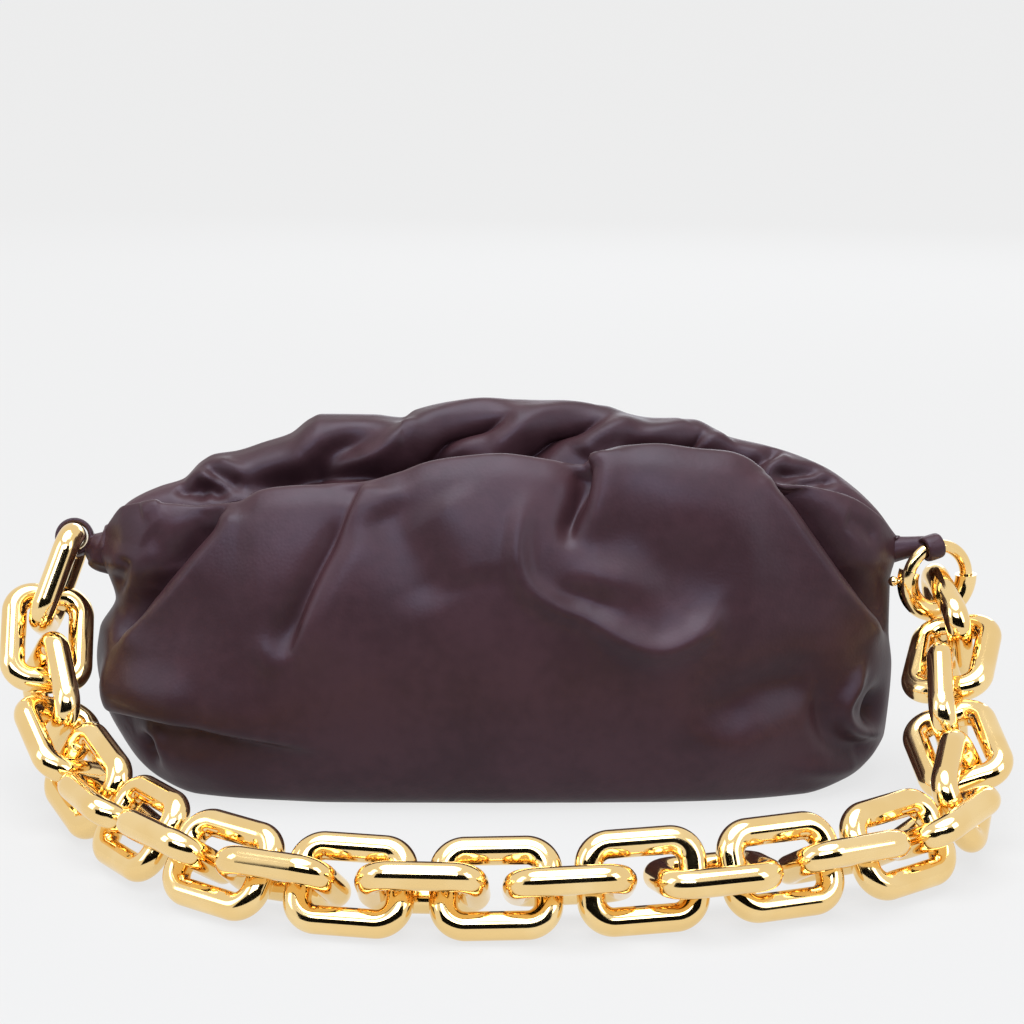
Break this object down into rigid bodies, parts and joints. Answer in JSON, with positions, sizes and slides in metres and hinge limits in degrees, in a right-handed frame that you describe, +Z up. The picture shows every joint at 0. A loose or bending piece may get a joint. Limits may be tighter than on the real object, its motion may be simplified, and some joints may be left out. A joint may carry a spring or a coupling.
{
  "type": "chain shoulder bag",
  "caption": "Soft gathered leather pouch with a hinged frame in its mouth, carried on a loop of heavy polished gold links that closes with a spring ring clasp.",
  "frame": {"origin": "centre of the pouch's flat base, on the surface it stands on", "axes": "+X along the mouth to the side with the spring ring, -Y to the front where the strap lies, +Z up"},
  "size_m": [0.3927, 0.2516, 0.1471],
  "materials": {
    "aubergine_leather": "smooth, softly lit, fine grain",
    "lining_suede": "matt suede cloth",
    "base_board": "matt",
    "frame_steel": "brushed",
    "magnet_nickel": "plated",
    "polished_gold": "mirror polished gold plating"
  },
  "bodies": {
    "pouch": {"back_panel": "aubergine_leather", "front_panel": "aubergine_leather", "front_gather": "aubergine_leather", "lining": "lining_suede", "base_board": "base_board", "slip_pocket": "aubergine_leather", "back_frame_bar": "frame_steel", "back_magnets": "magnet_nickel", "left_hinge_pin": "frame_steel", "right_hinge_pin": "frame_steel"},
    "front_frame": {"front_lip": "aubergine_leather", "front_frame_bar": "frame_steel", "front_magnets": "magnet_nickel"},
    "strap_ends": {"left_tab": "aubergine_leather", "right_tab": "aubergine_leather", "strap_link_01": "polished_gold", "clasp_tube": "polished_gold", "clasp_spring": "frame_steel"},
    "clasp_bolt": {"clasp_bolt": "polished_gold"},
    "strap_pair_02": {"strap_link_02": "polished_gold", "strap_link_25": "polished_gold"},
    "strap_pair_03": {"strap_link_03": "polished_gold", "strap_link_24": "polished_gold"},
    "strap_pair_04": {"strap_link_04": "polished_gold", "strap_link_23": "polished_gold"},
    "strap_pair_05": {"strap_link_05": "polished_gold", "strap_link_22": "polished_gold"},
    "strap_pair_06": {"strap_link_06": "polished_gold", "strap_link_21": "polished_gold"},
    "strap_pair_07": {"strap_link_07": "polished_gold", "strap_link_20": "polished_gold"},
    "strap_pair_08": {"strap_link_08": "polished_gold", "strap_link_19": "polished_gold"},
    "strap_pair_09": {"strap_link_09": "polished_gold", "strap_link_18": "polished_gold"},
    "strap_pair_10": {"strap_link_10": "polished_gold", "strap_link_17": "polished_gold"},
    "strap_pair_11": {"strap_link_11": "polished_gold", "strap_link_16": "polished_gold"},
    "strap_pair_12": {"strap_link_12": "polished_gold", "strap_link_15": "polished_gold"},
    "strap_pair_13": {"strap_link_13": "polished_gold", "strap_link_14": "polished_gold"}
  },
  "joints": [
    {"name": "mouth_open", "type": "hinge", "parent": "pouch", "child": "front_frame", "pos_m": [0, 0, 0.09199], "axis": [1, 0, 0], "range_deg": [0, 38], "deforming": ["front_gather"]},
    {"name": "strap_lift", "type": "hinge", "parent": "pouch", "child": "strap_ends", "pos_m": [0, 0, 0.09199], "axis": [-1, 0, 0], "range_deg": [0, 100]},
    {"name": "clasp_slide", "type": "hinge", "parent": "strap_ends", "child": "clasp_bolt", "pos_m": [0.17493, -0.00545, 0.08161], "axis": [0.3746, -0.9272, 0], "range_deg": [0, 36], "stiffness_Nm_per_rad": 0.05, "springref_deg": -17.19, "deforming": ["clasp_spring"]},
    {"name": "pair_02_bend", "type": "hinge", "parent": "strap_ends", "child": "strap_pair_02", "pos_m": [-0.17816, -0.0067, 0.07428], "axis": [-0.9999, -0.0064, 0.0158], "range_deg": [0, 7]},
    {"name": "pair_03_bend", "type": "hinge", "parent": "strap_pair_02", "child": "strap_pair_03", "pos_m": [-0.17688, -0.02946, 0.04641], "axis": [-0.9989, -0.0164, -0.0446], "range_deg": [0, 7]},
    {"name": "pair_04_bend", "type": "hinge", "parent": "strap_pair_03", "child": "strap_pair_04", "pos_m": [-0.17286, -0.04057, 0.03785], "axis": [-0.9989, -0.0007, -0.0461], "range_deg": [0, 12]},
    {"name": "pair_05_bend", "type": "hinge", "parent": "strap_pair_04", "child": "strap_pair_05", "pos_m": [-0.15809, -0.06911, 0.02162], "axis": [-0.998, -0.0221, -0.0586], "range_deg": [0, 12]},
    {"name": "pair_06_bend", "type": "hinge", "parent": "strap_pair_05", "child": "strap_pair_06", "pos_m": [-0.15077, -0.08101, 0.01789], "axis": [-0.9987, 0.0416, -0.0277], "range_deg": [0, 12]},
    {"name": "pair_07_bend", "type": "hinge", "parent": "strap_pair_06", "child": "strap_pair_07", "pos_m": [-0.13859, -0.10295, 0.01664], "axis": [-0.9996, 0.0185, -0.0194], "range_deg": [0, 12]},
    {"name": "pair_08_bend", "type": "hinge", "parent": "strap_pair_07", "child": "strap_pair_08", "pos_m": [-0.12537, -0.12436, 0.01738], "axis": [-0.999, 0.0437, -0.0033], "range_deg": [0, 12]},
    {"name": "pair_09_bend", "type": "hinge", "parent": "strap_pair_08", "child": "strap_pair_09", "pos_m": [-0.10149, -0.15129, 0.01672], "axis": [-0.9996, -0.0278, -0.007], "range_deg": [0, 12]},
    {"name": "pair_10_bend", "type": "hinge", "parent": "strap_pair_09", "child": "strap_pair_10", "pos_m": [-0.08988, -0.15993, 0.01636], "axis": [-0.9998, -0.0146, -0.0117], "range_deg": [0, 12]},
    {"name": "pair_11_bend", "type": "hinge", "parent": "strap_pair_10", "child": "strap_pair_11", "pos_m": [-0.05668, -0.17384, 0.01646], "axis": [-0.9987, -0.0483, -0.0177], "range_deg": [0, 12]},
    {"name": "pair_12_bend", "type": "hinge", "parent": "strap_pair_11", "child": "strap_pair_12", "pos_m": [-0.04252, -0.17631, 0.01644], "axis": [-0.9997, -0.0087, -0.0229], "range_deg": [0, 12]},
    {"name": "pair_13_bend", "type": "hinge", "parent": "strap_pair_12", "child": "strap_pair_13", "pos_m": [-0.01747, -0.17793, 0.01623], "axis": [-0.9994, -0.0163, -0.0307], "range_deg": [0, 12]}
  ]
}
